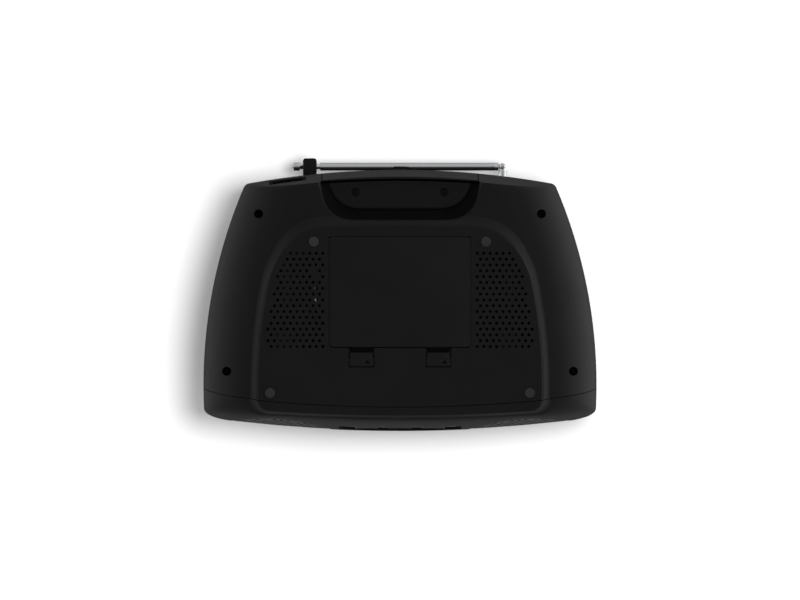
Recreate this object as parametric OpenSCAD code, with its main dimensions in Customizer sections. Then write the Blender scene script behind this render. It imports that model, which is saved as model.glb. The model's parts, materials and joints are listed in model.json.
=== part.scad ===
// Portable CD radio with a carrying grip, two speakers, a battery bay and a telescopic antenna.
// Millimetres. Front is -Y, rear is +Y, the rubber feet stand on z = 0.

/* [Cabinet] */
// Greatest width across the front
body_w = 305; // [300:1:310]
// Depth from the front bulge to the back of the antenna clip
body_d = 211.6; // [210:0.2:213]
// Height of the top deck above the table
body_h = 120; // [119:0.5:122]
// Wall thickness of the three cabinet shells
wall = 2.5; // [2.2:0.1:2.8]
// Height where the bottom and top cabinets meet
split_z = 55; // [54:0.5:56]
// Height of the flat base that carries the feet
base_z = 3; // [2.8:0.1:3.2]
// Height of the lower edge of the curved flanks
flank_z = 9; // [8.6:0.1:9.4]

/* [Base] */
// Half width of the battery door
door_hx = 54.6; // [54:0.1:55]
// Front edge of the battery door
door_y0 = -41.1; // [-41.4:0.1:-40.8]
// Rear edge of the battery door
door_y1 = 44.6; // [44.3:0.1:44.9]
// Thickness of the battery door
door_t = 2.2; // [2:0.1:2.4]
// Diameter of a cooling hole
vent_d = 2.4; // [2:0.1:2.6]
// Diameter of a rubber foot
foot_d = 7.8; // [7.4:0.1:8]
// Diameter of a case screw counterbore
screw_bore_d = 7; // [6.6:0.1:7.2]

/* [Speakers] */
// Distance of a speaker axis from the middle
speaker_x = 92; // [91:0.5:93]
// Height of the speaker axes
speaker_z = 56; // [55:0.5:57]
// Radius of a speaker grille
grille_r = 40; // [39.5:0.1:40.2]

/* [Disc player] */
// Radius of the disc lid
lid_r = 66; // [65.6:0.1:66.2]
// Travel of the laser pickup
pickup_travel = 34; // [30:1:34]

/* [Antenna] */
// Height of the stowed antenna
mast_z = 96; // [95:0.5:97]
// Outer diameter of the largest tube
mast_d = 6; // [5.8:0.1:6]

/* [Hidden] */
$fn = 48;

BLACK = "#1d1d1f";
DARK = "#2a2a2c";
CHROME = "#d6d8da";
STEEL = "#9a9ea2";
GREEN = "#1f5a38";
COPPER = "#a8622e";

// Outline arcs: the flanks are arcs of side_r, the front and back are shallower ones.
side_r = 390;
side_y = -70;
front_r = 1100;
back_r = 656;
back_edge = 96.6;
seam_r = 1150;
seam_y = -86.5;
seam_tilt = 6;
seam_gap = 0.15;

// Each row of the form: height, then how far the side, front and back lie inside the outline.
FORM = [[flank_z, 40, 9.2, 7], [11, 28, 7.5, 6.4], [15, 18.5, 5.6, 5.3], [22, 10.2, 3.4, 3.6],
    [32, 4, 1.4, 1.5], [44, 0.6, 0.2, 0.3], [56, 0, 0, 0], [72, 0.6, 0.6, 0],
    [88, 3, 2.4, 0.5], [100, 8, 5.4, 2.2], [109, 15, 9.6, 5.5], [115.5, 25, 15, 10],
    [119, 38, 22.5, 15], [body_h, 50, 30, 20]];

function side_x(y, inset) =
    sqrt(side_r * side_r - pow(y - side_y, 2)) - (side_r - body_w / 2) - inset;
function front_y(x, inset) = -body_d / 2 + inset + x * x / (2 * front_r);
function back_y(x, inset) = back_edge - inset - x * x / (2 * back_r);
function bend(a, c, b, n) =
    [for (i = [0:n]) let(t = i / n) a * (1 - t) * (1 - t) + c * 2 * t * (1 - t) + b * t * t];
// The right half of an outline, mirrored and joined into a closed one.
function both_sides(half) = concat(half,
    [for (i = [len(half) - 1:-1:0]) if (abs(half[i][0]) > 0.01) [-half[i][0], half[i][1]]]);

function half_ring(ds, df, db) =
    let(xf = side_x(front_y(side_x(-95, ds), df), ds), yf = front_y(xf, df),
        xb = side_x(back_y(side_x(85, ds), db), ds), yb = back_y(xb, db),
        along = 24 + ds * 0.2, up = 7 + ds * 0.3, rear = 3 + ds * 0.1,
        y0 = yf + up, y1 = yb - rear)
    concat(
        [for (i = [0:3]) let(x = (xf - along) * i / 4) [x, front_y(x, df)]],
        bend([xf - along, front_y(xf - along, df)], [xf, yf], [side_x(y0, ds), y0], 4),
        [for (i = [1:5]) let(y = y0 + (y1 - y0) * i / 6) [side_x(y, ds), y]],
        bend([side_x(y1, ds), y1], [xb, yb], [xb - rear, back_y(xb - rear, db)], 2),
        [for (i = [3:-1:0]) let(x = (xb - rear) * i / 4) [x, back_y(x, db)]]);

// The smooth outer body, or the same body shrunk by a wall thickness.
module form(shrink) {
    squeeze = (body_h - flank_z - 2 * shrink) / (body_h - flank_z);
    hull() for (row = FORM)
        translate([0, 0, flank_z + shrink + (row[0] - flank_z) * squeeze - 0.01])
            linear_extrude(0.02)
                polygon(both_sides(half_ring(row[1] + shrink, row[2] + shrink, row[3] + shrink)));
}

// Flat base that stands a step lower than the flanks.
function half_base(shrink) =
    let(side = 42.3 + shrink, front = -93.7 + shrink, rear = 55 - shrink, corner = 9)
    concat(
        [for (i = [0:3]) let(x = 25 * i) [x, front + x * x / 3000]],
        bend([100 - shrink, front + 3.3], [109.5 - shrink, front + 3.8],
             [side_x(front + 3.5 + corner, side), front + 3.5 + corner], 4),
        [for (i = [1:5]) let(y = -81 + 95 * i / 6) [side_x(y, side), y]],
        bend([side_x(14, side), 14], [88.5 - shrink, rear], [54, rear], 5),
        [[0, rear + 0.6]]);
module base(shrink) {
    translate([0, 0, base_z + shrink]) linear_extrude(14) polygon(both_sides(half_base(shrink)));
}
module shell() {
    difference() {
        union() {
            form(0);
            base(0);
        }
        form(wall);
        base(wall);
    }
}

// Everything in front of the seam of the front cabinet; the seam leans back with height.
module front_zone(shift) {
    translate([0, seam_y + shift, flank_z]) rotate([-seam_tilt, 0, 0])
        translate([0, 0, -30]) linear_extrude(170)
            polygon(concat([for (i = [-8:8]) let(x = 21 * i) [x, x * x / (2 * seam_r)]],
                [[168, -60], [-168, -60]]));
}
module block(x, y, z) {
    translate([x[0], y[0], z[0]]) cube([x[1] - x[0], y[1] - y[0], z[1] - z[0]]);
}
module rounded(w, h, r) {
    square([w - 2 * r, h], center = true);
    square([w, h - 2 * r], center = true);
    for (sx = [-1, 1], sy = [-1, 1])
        translate([sx * (w / 2 - r), sy * (h / 2 - r)]) circle(r);
}
// A plate with rounded corners that faces the front, from y0 back to y1.
module front_plate(x, z, w, h, y0, y1, r) {
    translate([x, y1, z]) rotate([90, 0, 0]) linear_extrude(y1 - y0) rounded(w, h, r);
}
module rod(x, y, z0, z1, r) {
    translate([x, y, z0]) cylinder(h = z1 - z0, r = r);
}
module rod_y(x, z, y0, y1, r) {
    translate([x, y0, z]) rotate([-90, 0, 0]) cylinder(h = y1 - y0, r = r);
}
module rod_x(y, z, x0, x1, r) {
    translate([x0, y, z]) rotate([0, 90, 0]) cylinder(h = x1 - x0, r = r);
}

// Case screws, grip screws, feet and vents, on both sides of the middle.
CASE_SCREWS = [[109.4, 62.3], [134.1, -59.4]];
GRIP_SCREW = [34.2, 79.1];
FEET = [[66.6, 40.8], [100.4, -76.1]];
vent_pitch_x = 4.98;
vent_pitch_y = 4.5;
vent_x = 59.7;
vent_y = 31.8;
VENT_COUNTS = [6, 6, 7, 7, 8, 7, 8, 8, 8, 8, 9, 8, 9, 9, 9, 9, 9];

// Two holes of the right field are left closed.
module vents() {
    for (s = [-1, 1], row = [0:len(VENT_COUNTS) - 1], i = [0:VENT_COUNTS[row] - 1])
        if (s < 0 || i != 1 || row < 3 || row > 4)
            rod(s * (vent_x + (row % 2) * vent_pitch_x / 2 + i * vent_pitch_x),
                vent_y - row * vent_pitch_y, base_z - 1, base_z + wall + 1, vent_d / 2);
}

// Carrying grip: a finger recess that slopes in from its rim to its floor.
grip_floor_z = 30;
grip_rear = 86.6;
function half_grip(rim, grow) =
    rim ? concat([[0, 57.9 - grow]],
            bend([36, 58 - grow], [59.5 + grow, 58.6 - grow], [60.8 + grow, 84], 5),
            [[61 + grow, grip_rear]])
        : concat([[0, 66.7 - grow]],
            bend([34, 66.7 - grow], [53 + grow, 67 - grow], [54.2 + grow, 84.7], 5),
            [[54.3 + grow, grip_rear]]);
module grip_bowl(grow) {
    hull() {
        translate([0, 0, flank_z]) linear_extrude(0.02) polygon(both_sides(half_grip(true, grow)));
        translate([0, 0, grip_floor_z + grow - 0.02]) linear_extrude(0.02)
            polygon(both_sides(half_grip(false, grow)));
    }
}

door_gap = 0.4;
well_hx = 55.5;
well_y0 = -42.5;
well_y1 = 46.4;
well_top = 35;
latch_cx = 29.75;
latch_y0 = -56.5;
latch_gap = 0.35;
hinge_y = door_y1 - door_t / 2;
hinge_z = base_z + door_t / 2;
tongue_x = [36, 48];
screw_seat_z = 47;
inlet_x = [75.4, 98.6];
inlet_z = [20.5, 30.5];

// The door's outline with its two rounded front corners, grown sideways and to the front.
module door_plate(grow, rear, z) {
    corner = 2.5;
    block([-door_hx - grow, door_hx + grow], [door_y0 + corner, rear], z);
    block([corner - door_hx, door_hx - corner], [door_y0 - grow, door_y0 + corner + 0.5], z);
    for (s = [-1, 1])
        rod(s * (door_hx - corner), door_y0 + corner, z[0], z[1], corner + grow);
}

module bottom_cabinet() {
    color(BLACK) difference() {
        union() {
            difference() {
                shell();
                front_zone(seam_gap);
                block([-160, 160], [-110, 110], [split_z - seam_gap, body_h + 5]);
                // the back is open behind the grip, where the top cabinet's lip comes down
                block([-60.8, 60.8], [grip_rear, 110], [0, split_z + 1]);
            }
            intersection() {
                union() {
                    form(1);
                    base(1);
                }
                union() {
                    for (s = [-1, 1], p = CASE_SCREWS)
                        rod(s * p[0], p[1], flank_z, split_z - seam_gap, 5.4);
                    for (p = [[68, 40], [98, 40], [68, 62], [98, 62]])
                        rod(p[0], p[1], base_z, 26, 3);
                    // inlet shelf
                    block([71, 103], [72, 92], [inlet_z[0] - 3.5, inlet_z[0] - 1]);
                }
            }
            // battery well, with a box for each door latch and each door tongue
            block([-well_hx - 2, well_hx + 2], [well_y0 - 2, well_y1 + 2],
                [base_z + 1, well_top + 2]);
            for (s = [-1, 1]) {
                block([s * latch_cx - 11.85, s * latch_cx + 11.85], [latch_y0 - 2, well_y0],
                    [base_z + 1, 11]);
                block([s * 42 - 8, s * 42 + 8], [well_y1, 52], [base_z + 1, 12.5]);
            }
            for (s = [-1, 1], y = [-38, 42])
                rod(s * 48, y, well_top + 1, 42, 3.2);
            // grip tray with its screw bosses
            grip_bowl(wall);
            for (s = [-1, 1])
                rod(s * GRIP_SCREW[0], GRIP_SCREW[1], grip_floor_z, 36, 5);
        }
        grip_bowl(0);
        translate([0, 0, -1]) linear_extrude(flank_z + 1.01)
            polygon(both_sides(half_grip(true, 0)));
        block([-well_hx, well_hx], [well_y0, well_y1], [base_z + wall, well_top]);
        door_plate(door_gap, door_y1 + door_gap, [0, base_z + wall + 1]);
        for (s = [-1, 1]) {
            block([s * latch_cx - 9.85, s * latch_cx + 9.85], [latch_y0, well_y0 + 1], [0, 9]);
            block([s * 42 - 6.4, s * 42 + 6.4], [well_y1 - 1, 50], [base_z + wall, 10.6]);
            rod(s * GRIP_SCREW[0], GRIP_SCREW[1], grip_floor_z - 1, 31, 3.25);
            rod(s * GRIP_SCREW[0], GRIP_SCREW[1], 30, 37, 1.9);
        }
        for (s = [-1, 1], p = CASE_SCREWS) {
            rod(s * p[0], p[1], 0, screw_seat_z, screw_bore_d / 2);
            rod(s * p[0], p[1], screw_seat_z - 1, split_z + 1, 1.9);
        }
        for (s = [-1, 1], p = FEET)
            rod(s * p[0], p[1], base_z - 1, base_z + 1.5, foot_d / 2 + 0.1);
        vents();
        block([inlet_x[0] - 2.6, inlet_x[1] + 2.6], [70, 110], [inlet_z[0] - 1, inlet_z[1] + 3]);
    }
}

grille_t = 1.2;
panel_hx = 47;
// A belt of the cabinet runs between the display opening and the key opening.
OPENINGS = [[76, 28], [37, 26]];
panel_y = -101.9;
jack_at = [41.4, 31.4];
module at_speaker(side) {
    translate([side * speaker_x, front_y(speaker_x, 0.9), speaker_z])
        rotate([0, 0, side * atan(speaker_x / front_r)]) rotate([-90, 0, 0]) children();
}
module front_cabinet() {
    color(BLACK) difference() {
        union() {
            intersection() {
                shell();
                front_zone(-seam_gap);
            }
            intersection() {
                form(0);
                for (side = [-1, 1]) at_speaker(side) cylinder(h = 8, r = grille_r + 3.5);
            }
        }
        difference() {
            for (side = [-1, 1]) at_speaker(side)
                translate([0, 0, -5]) cylinder(h = 12, r = grille_r + 0.3);
            form(grille_t + 0.4);
        }
        for (side = [-1, 1]) at_speaker(side) cylinder(h = 20, r = 35);
        for (o = OPENINGS)
            front_plate(0, o[0], 2 * panel_hx + 0.8, o[1] + 0.8, -110, -95, 4.4);
    }
}

// Disc well, deck controls and the long screw posts hang from the top cabinet.
lid_y = 5;
well_floor_z = 104;
lid_hinge = [75, 116.5];
knob_y = -38;
knob_x = 86;
slot_y = 8;
lid_button_y = -67.8;
post_r = 4.5;
module top_cabinet() {
    color(BLACK) difference() {
        union() {
            difference() {
                shell();
                front_zone(seam_gap);
                difference() {
                    block([-160, 160], [-110, 110], [0, split_z + seam_gap]);
                    block([-60.2, 60.2], [88.2, 110], [14, 60]);
                }
            }
            // lip of the carrying grip
            intersection() {
                form(0);
                difference() {
                    block([-60.2, 60.2], [88.2, 110], [14, 60]);
                    block([-57.7, 57.7], [90.7, 110], [16.5, 61]);
                }
            }
            intersection() {
                form(1);
                union() {
                    rod(0, lid_y, well_floor_z - wall, body_h, lid_r + 3);
                    for (s = [-1, 1]) {
                        for (p = CASE_SCREWS) rod(s * p[0], p[1], split_z + 0.3, body_h, post_r);
                        rod(s * GRIP_SCREW[0], GRIP_SCREW[1], 36.3, body_h, 4);
                        rod(s * knob_x, knob_y, 113.5, body_h, 19);
                        block([s * knob_x - 9, s * knob_x + 9], [slot_y - 18, slot_y + 18],
                            [115.5, body_h]);
                    }
                    block([-36, 36], [60, 83], [109, body_h]);
                    rod_y(-79.8, mast_z, 80, 110, 6);
                }
            }
        }
        rod(0, lid_y, well_floor_z, body_h + 1, lid_r + 0.6);
        // window for the turntable and the pickup
        block([-17, 35 + pickup_travel], [-13.5, 23.5], [90, well_floor_z + 1]);
        block([-31, 31], [60, 80.6], [111.5, body_h + 1]);
        for (s = [-1, 1]) {
            rod_x(lid_hinge[0], lid_hinge[1], s * 33 - 2.2, s * 33 + 2.2, 1.55);
            rod(s * GRIP_SCREW[0], GRIP_SCREW[1], 36, 56, 1.55);
            for (p = CASE_SCREWS) rod(s * p[0], p[1], split_z, 70, 1.55);
            rod(s * knob_x, knob_y, 116, body_h + 1, 16);
            rod(s * knob_x, knob_y, 110, 117, 4);
            block([s * knob_x - 6, s * knob_x + 6], [slot_y - 16, slot_y + 14],
                [118, body_h + 1]);
            block([s * knob_x - 2.2, s * knob_x + 2.2], [slot_y - 13, slot_y + 11.5],
                [110, body_h]);
        }
        translate([0, lid_button_y, 105]) linear_extrude(20) rounded(26.8, 7.6, 3);
        rod_y(-79.8, mast_z, 79, 110, 3.42);
    }
}

module control_panel() {
    color(DARK) difference() {
        union() {
            for (o = OPENINGS)
                front_plate(0, o[0], 2 * panel_hx, o[1], panel_y, panel_y + wall, 4);
            block([-40, 40], [panel_y, panel_y + wall], [49, 63]);
        }
        front_plate(0, display_z, 60, 18, -110, -90, 2);
        for (p = BUTTONS) front_plate(p[0], p[1], 18, 8, -110, -90, 2);
        rod_y(jack_at[0], jack_at[1], -110, -90, 2.6);
    }
}
display_z = 76;
BUTTONS = [[0, 43], [0, 31], [-26, 43], [26, 43], [-26, 31], [26, 31]];
module button(i) {
    p = BUTTONS[i];
    color(STEEL) {
        front_plate(p[0], p[1], 17.2, 7.2, panel_y - 1.6, panel_y + 4.3, 1.7);
        front_plate(p[0], p[1], 20, 10, panel_y + wall + 0.2, panel_y + wall + 1.2, 2);
    }
}
module play_button() { button(0); }
module stop_button() { button(1); }
module previous_button() { button(2); }
module next_button() { button(3); }
module program_button() { button(4); }
module power_button() { button(5); }
module lcd_window() {
    color("#35405a", 0.6) front_plate(0, display_z, 59.6, 17.6, panel_y - 0.2, panel_y + 1.8, 1.8);
}
module lcd_module() {
    color("#8fa08a") block([-31, 31], [panel_y + wall + 0.2, -95.4], [66, 86]);
}
board_y = -94.5;
module key_board() {
    color(GREEN) {
        block([-44, 46], [board_y, board_y + 1.6], [26, 88]);
        for (p = BUTTONS)
            block([p[0] - 3, p[0] + 3], [board_y - 1.7, board_y], [p[1] - 3, p[1] + 3]);
    }
}
module headphone_jack() {
    color(DARK) difference() {
        union() {
            rod_y(jack_at[0], jack_at[1], panel_y - 0.6, panel_y + wall + 0.4, 2.5);
            block([jack_at[0] - 4.4, jack_at[0] + 4.4], [panel_y + wall + 0.2, board_y - 0.05],
                [jack_at[1] - 4.6, jack_at[1] + 4.6]);
        }
        rod_y(jack_at[0], jack_at[1], panel_y - 5, panel_y + 6.4, 1.8);
    }
}
module lid_button() {
    color(STEEL) translate([0, lid_button_y, 111]) linear_extrude(10) rounded(26, 6.8, 2.6);
}

module speaker_grille(side) {
    pitch = 5.2;
    color("#3a3a3c") difference() {
        intersection() {
            form(0.3);
            at_speaker(side) translate([0, 0, -5]) cylinder(h = 12, r = grille_r);
        }
        form(0.3 + grille_t);
        at_speaker(side) for (row = [-8:8], i = [-8:8]) {
            x = (i + (abs(row) % 2) / 2) * pitch;
            y = row * pitch * sin(60);
            if (norm([x, y]) < grille_r - 3.4)
                translate([x, y, -5]) cylinder(h = 13, r = 1.7, $fn = 20);
        }
    }
}
module speaker_grille_left() { speaker_grille(-1); }
module speaker_grille_right() { speaker_grille(1); }
module turned(points) {
    rotate_extrude() polygon(points);
}
speaker_w = 8.3;
module speaker_basket(side) {
    color(STEEL) at_speaker(side) translate([0, 0, speaker_w]) difference() {
        turned([[33, 0], [38.5, 0], [38.5, 1.4], [34.4, 2.4], [24, 20.5], [14, 20.5], [14, 19],
            [22.8, 19], [32.6, 2.2]]);
        for (a = [0:60:300]) rotate(a) translate([29, 0, 12]) cube([20, 14, 12], center = true);
    }
}
module speaker_basket_left() { speaker_basket(-1); }
module speaker_basket_right() { speaker_basket(1); }
module speaker_cone(side) {
    color("#151516") at_speaker(side) translate([0, 0, speaker_w])
        turned([[0, 6.2], [4, 6.8], [8, 8.6], [8.8, 12.2], [25.4, 2.6], [26.8, 1.6], [29, 1.6],
            [30, 2.6], [30, 3.4], [28.8, 3.2], [27.8, 2.4], [27, 3], [9.4, 13.6],
            [9.4, 17.4], [8.6, 17.4], [8.6, 14], [7.6, 9.6], [3.9, 7.8], [0, 7.2]]);
}
module speaker_cone_left() { speaker_cone(-1); }
module speaker_cone_right() { speaker_cone(1); }
module speaker_magnet(side) {
    color(DARK) at_speaker(side) translate([0, 0, speaker_w]) difference() {
        union() {
            translate([0, 0, 20.5]) cylinder(h = 13, r = 20);
            cylinder(h = 20.6, r = 7.6);
        }
        translate([0, 0, -1]) cylinder(h = 14.6, r = 9);
        translate([0, 0, 12]) difference() {
            cylinder(h = 12, r = 10.6);
            translate([0, 0, -1]) cylinder(h = 14, r = 7.6);
        }
    }
}
module speaker_magnet_left() { speaker_magnet(-1); }
module speaker_magnet_right() { speaker_magnet(1); }

// Opening of the lid window: the front part of a ring round the disc clamp.
module window_shape(grow) {
    intersection() {
        difference() {
            circle(51 + grow);
            circle(22 - grow);
        }
        translate([-60, -60]) square([120, 70 + grow]);
    }
}
module cd_lid() {
    color(DARK) difference() {
        union() {
            rod(0, lid_y, 117, body_h, lid_r);
            difference() {
                rod(0, lid_y, 113, 117.1, lid_r);
                rod(0, lid_y, 112, 117.2, lid_r - wall);
            }
            rod(0, lid_y, 112.8, 117.1, 8);
            block([-30, 30], [60, 73.4], [117.2, body_h]);
            for (s = [-1, 1]) {
                rod_x(lid_hinge[0], lid_hinge[1], s * 24 - 6, s * 24 + 6, 3);
                block([s * 24 - 6, s * 24 + 6], [62, lid_hinge[0]], [115.6, 118]);
            }
        }
        translate([0, lid_y, 110]) linear_extrude(20) window_shape(0);
        translate([0, lid_y, 118.2]) linear_extrude(5) window_shape(1.5);
        rod(0, lid_y, 114.6, 117, 6.2);
        rod(0, lid_y, 112, 115, 4.5);
        for (s = [-1, 1]) rod_x(lid_hinge[0], lid_hinge[1], s * 24 - 7, s * 24 + 7, 1.55);
    }
}
module lid_window() {
    color("#4a5560", 0.5) translate([0, lid_y, 118.2]) linear_extrude(1.7) window_shape(1.3);
}
module disc_clamp() {
    color(BLACK) {
        rod(0, lid_y, 109.4, 112.3, 15);
        rod(0, lid_y, 112.2, 115.1, 4);
        rod(0, lid_y, 115, 116.4, 5.6);
    }
}
module lid_hinge_pins() {
    color(STEEL) for (s = [-1, 1])
        rod_x(lid_hinge[0], lid_hinge[1], s * 26.4 - 8.6, s * 26.4 + 8.6, 1.5);
}

chassis_z = 90;
rod_z = 96;
RODS = [-9, 19];
DAMPERS = [[-46, -32], [70, -32], [-46, 42], [70, 42]];
gear_at = [45, 32];
gear_r = 6;
gear_teeth = 12;
tooth_pitch = 2 * PI * gear_r / gear_teeth;
module cd_chassis() {
    color(STEEL) difference() {
        union() {
            block([-52, 82], [-38, 48], [chassis_z, chassis_z + 2.5]);
            for (x = [10, 67], y = RODS)
                block([x, x + 4], [y - 3, y + 3], [chassis_z + 2, rod_z + 3]);
        }
        block([15, 32.4 + pickup_travel], [-14, 24], [chassis_z - 1, rod_z - 3]);
        rod(0, lid_y, chassis_z - 1, chassis_z + 3, 4);
        rod(gear_at[0], gear_at[1], chassis_z - 1, chassis_z + 3, 2);
        for (y = RODS) rod_x(y, rod_z, 5, 75, 1.55);
    }
}
module chassis_dampers() {
    color("#333333") for (p = DAMPERS)
        rod(p[0], p[1], chassis_z + 2.5, well_floor_z - wall, 5);
}
module guide_rods() {
    color(CHROME) for (y = RODS) rod_x(y, rod_z, 10, 71, 1.5);
}
module spindle_motor() {
    color(STEEL) {
        rod(0, lid_y, 76, chassis_z - 0.05, 12);
        rod(0, lid_y, chassis_z - 1, 106, 1);
    }
}
module turntable() {
    color(DARK) difference() {
        union() {
            rod(0, lid_y, 98, 105, 3);
            rod(0, lid_y, 104.8, 107.4, 14);
            rod(0, lid_y, 107.3, 108.8, 7.4);
        }
        rod(0, lid_y, 97, 106.5, 1.06);
    }
}
// Rack teeth and gear teeth are straight-sided, with play between them.
function tooth(x, y, half_root, half_tip, height) =
    [[x - half_root, y], [x - half_tip, y + height], [x + half_tip, y + height],
     [x + half_root, y]];
rack_y = gear_at[1] - gear_r;
module laser_pickup() {
    color(DARK) difference() {
        union() {
            block([17, 31], [-13, 23], [chassis_z + 3, 100.4]);
            rod(24, lid_y, 100, 103.2, 4);
            block([17, 31], [22, rack_y - 1.1], [94, 97]);
            translate([0, 0, 94]) linear_extrude(3) union() {
                translate([6.2, rack_y - 2.6]) square([46, 1.51]);
                for (i = [-12:2])
                    polygon(tooth(gear_at[0] + (i - 0.5) * tooth_pitch,
                        rack_y - 1.1, 0.82, 0.42, 1.85));
            }
        }
        for (y = RODS) rod_x(y, rod_z, 5, 75, 1.56);
    }
}
module sled_gear() {
    color("#e8e4d8") translate([gear_at[0], gear_at[1], 94.2]) difference() {
        union() {
            cylinder(h = 2.6, r = 4.9);
            for (i = [0:gear_teeth - 1]) rotate(i * 360 / gear_teeth)
                linear_extrude(2.6) polygon(tooth(0, -6.75, 0.4, 0.95, 2.6));
        }
        translate([0, 0, -1]) cylinder(h = 5, r = 0.86);
    }
}
module sled_motor() {
    color(STEEL) {
        rod(gear_at[0], gear_at[1], 74, chassis_z - 0.05, 8);
        rod(gear_at[0], gear_at[1], chassis_z - 1, 98, 0.8);
    }
}

board_z = 42;
module main_board() {
    color(GREEN) block([-58, 58], [-54, 50], [board_z, board_z + 1.6]);
}
module board_parts() {
    top = board_z + 1.6;
    color(DARK) {
        for (x = [-44, -30, -16]) rod(x, 30, top, top + 20, 5);
        for (p = [[10, -20], [34, -20]])
            block([p[0], p[0] + 16], [p[1], p[1] + 16], [top, top + 3]);
        block([-50, -20], [-30, -18], [top, top + 24]);
        for (x = [4:9:40]) block([x, x + 6], [14, 30], [top, top + 8]);
    }
}

module knob(x) {
    color(STEEL) difference() {
        union() {
            rod(x, knob_y, 116.5, 122, 14);
            for (a = [0:15:345]) translate([x, knob_y, 0]) rotate(a)
                rod(14, 0, 117, 121.2, 0.7);
        }
        rod(x, knob_y, 112, 120, 3.06);
        translate([x, knob_y + 9, 121.4]) cube([1.4, 6, 2], center = true);
    }
}
module volume_knob() { knob(-knob_x); }
module tuning_knob() { knob(knob_x); }
module volume_pot() {
    color(STEEL) {
        block([-knob_x - 8.5, -knob_x + 8.5], [knob_y - 8.5, knob_y + 8.5], [103, 112]);
        rod(-knob_x, knob_y, 111, 119.7, 3);
    }
}
module tuning_capacitor() {
    color("#cfc9b8") {
        block([knob_x - 10, knob_x + 10], [knob_y - 10, knob_y + 10], [99, 112]);
        rod(knob_x, knob_y, 111, 119.7, 3);
    }
}
module slider(x) {
    color(STEEL) {
        block([x - 4.5, x + 4.5], [14.6, 21.4], [118.3, 121.4]);
        block([x - 1.8, x + 1.8], [14.8, 19], [107.5, 118.4]);
    }
}
module function_slider() { slider(-knob_x); }
module band_slider() { slider(knob_x); }
module slide_switches() {
    color(STEEL) for (s = [-1, 1]) difference() {
        block([s * knob_x - 5, s * knob_x + 5], [slot_y - 17, slot_y + 16], [104, 112]);
        block([s * knob_x - 2.2, s * knob_x + 2.2], [slot_y - 13, slot_y + 11.5], [107, 113]);
    }
}

module battery_door() {
    color(BLACK) {
        door_plate(0, hinge_y, [base_z, base_z + door_t]);
        rod_x(hinge_y, hinge_z, -door_hx, door_hx, door_t / 2);
        for (s = [-1, 1]) {
            block([s * 42 - 6, s * 42 + 6], [hinge_y - 5, hinge_y - 1],
                [base_z + door_t - 0.1, base_z + door_t + 2]);
            block([s * 42 - 6, s * 42 + 6], [hinge_y - 3, hinge_y + 5],
                [base_z + wall + 0.4, base_z + door_t + 2]);
        }
    }
}
module door_latch(s) {
    x = [s * latch_cx - 9.5, s * latch_cx + 9.5];
    color(BLACK) {
        block(x, [latch_y0 + latch_gap, -45], [base_z + 0.3, base_z + door_t]);
        block([x[0] + 1.4, x[1] - 1.4], [-48.5, -45], [base_z + door_t - 0.1, 7.4]);
        block([x[0] + 1.4, x[1] - 1.4], [-45.1, -37], [5.7, 7.4]);
    }
}
module door_latch_left() { door_latch(-1); }
module door_latch_right() { door_latch(1); }

cell_r = 13.1;
cell_l = 50;
cell_z = 20.5;
ROWS = [-26.2, 1.6, 29.4];
module battery_cells() {
    color("#3c4a58") for (i = [0:2], s = [0, 1]) {
        x0 = -cell_l + s * cell_l;
        flip = i % 2;
        rod_x(ROWS[i], cell_z, x0 + (flip ? 0 : 0.05), x0 + cell_l - 1.6, cell_r);
        rod_x(ROWS[i], cell_z, x0 + cell_l - 1.7, x0 + cell_l - 0.02, 3);
    }
}
module battery_springs() {
    color(STEEL) for (y = ROWS) {
        block([-well_hx, -well_hx + 0.6], [y - 9, y + 9], [11, 31]);
        for (i = [0:2]) translate([-well_hx + 0.6 + i * 1.75, y, cell_z]) rotate([0, 90, 0])
            difference() {
                cylinder(h = 1.3, r = 6.4 - i);
                translate([0, 0, -1]) cylinder(h = 4, r = 5.4 - i);
            }
        rod_x(y, cell_z + 4.8, -well_hx + 0.5, -50.3, 1.1);
    }
}
module battery_plates() {
    color(STEEL) for (y = ROWS) {
        block([well_hx - 0.6, well_hx], [y - 9, y + 9], [11, 31]);
        rod_x(y, cell_z, 50.1, well_hx - 0.5, 5);
    }
}

module mains_inlet() {
    color(DARK) {
        difference() {
            intersection() {
                form(0.3);
                block([inlet_x[0] - 2.4, inlet_x[1] + 2.4], [74, 110],
                    [inlet_z[0] - 0.8, inlet_z[1] + 2.8]);
            }
            block(inlet_x, [77, 110], inlet_z);
        }
        for (s = [-1, 1])
            rod_y((inlet_x[0] + inlet_x[1]) / 2 + s * 4.3, (inlet_z[0] + inlet_z[1]) / 2,
                76, 86, 1.2);
    }
}
module transformer() {
    color(STEEL) {
        block([64, 102], [34, 68], [26, 29]);
        block([68, 98], [38, 66], [29, 58]);
    }
    color(COPPER) block([74, 92], [31, 73], [33, 54]);
}
module rubber_feet() {
    color("#3a3a3a") for (s = [-1, 1], p = FEET)
        rod(s * p[0], p[1], 0, base_z + 1.4, foot_d / 2);
}
module screw(x, y, seat, head_r, length) {
    difference() {
        union() {
            rod(x, y, seat - 2.2, seat, head_r);
            rod(x, y, seat - 0.1, seat + length, 1.5);
        }
        translate([x, y, seat - 2.2]) {
            cube([4, 0.9, 2], center = true);
            cube([0.9, 4, 2], center = true);
        }
    }
}
module case_screws() {
    color(STEEL) for (s = [-1, 1]) {
        for (p = CASE_SCREWS) screw(s * p[0], p[1], screw_seat_z, 3, 20);
        screw(s * GRIP_SCREW[0], GRIP_SCREW[1], 31, 3, 22);
    }
}

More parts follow.
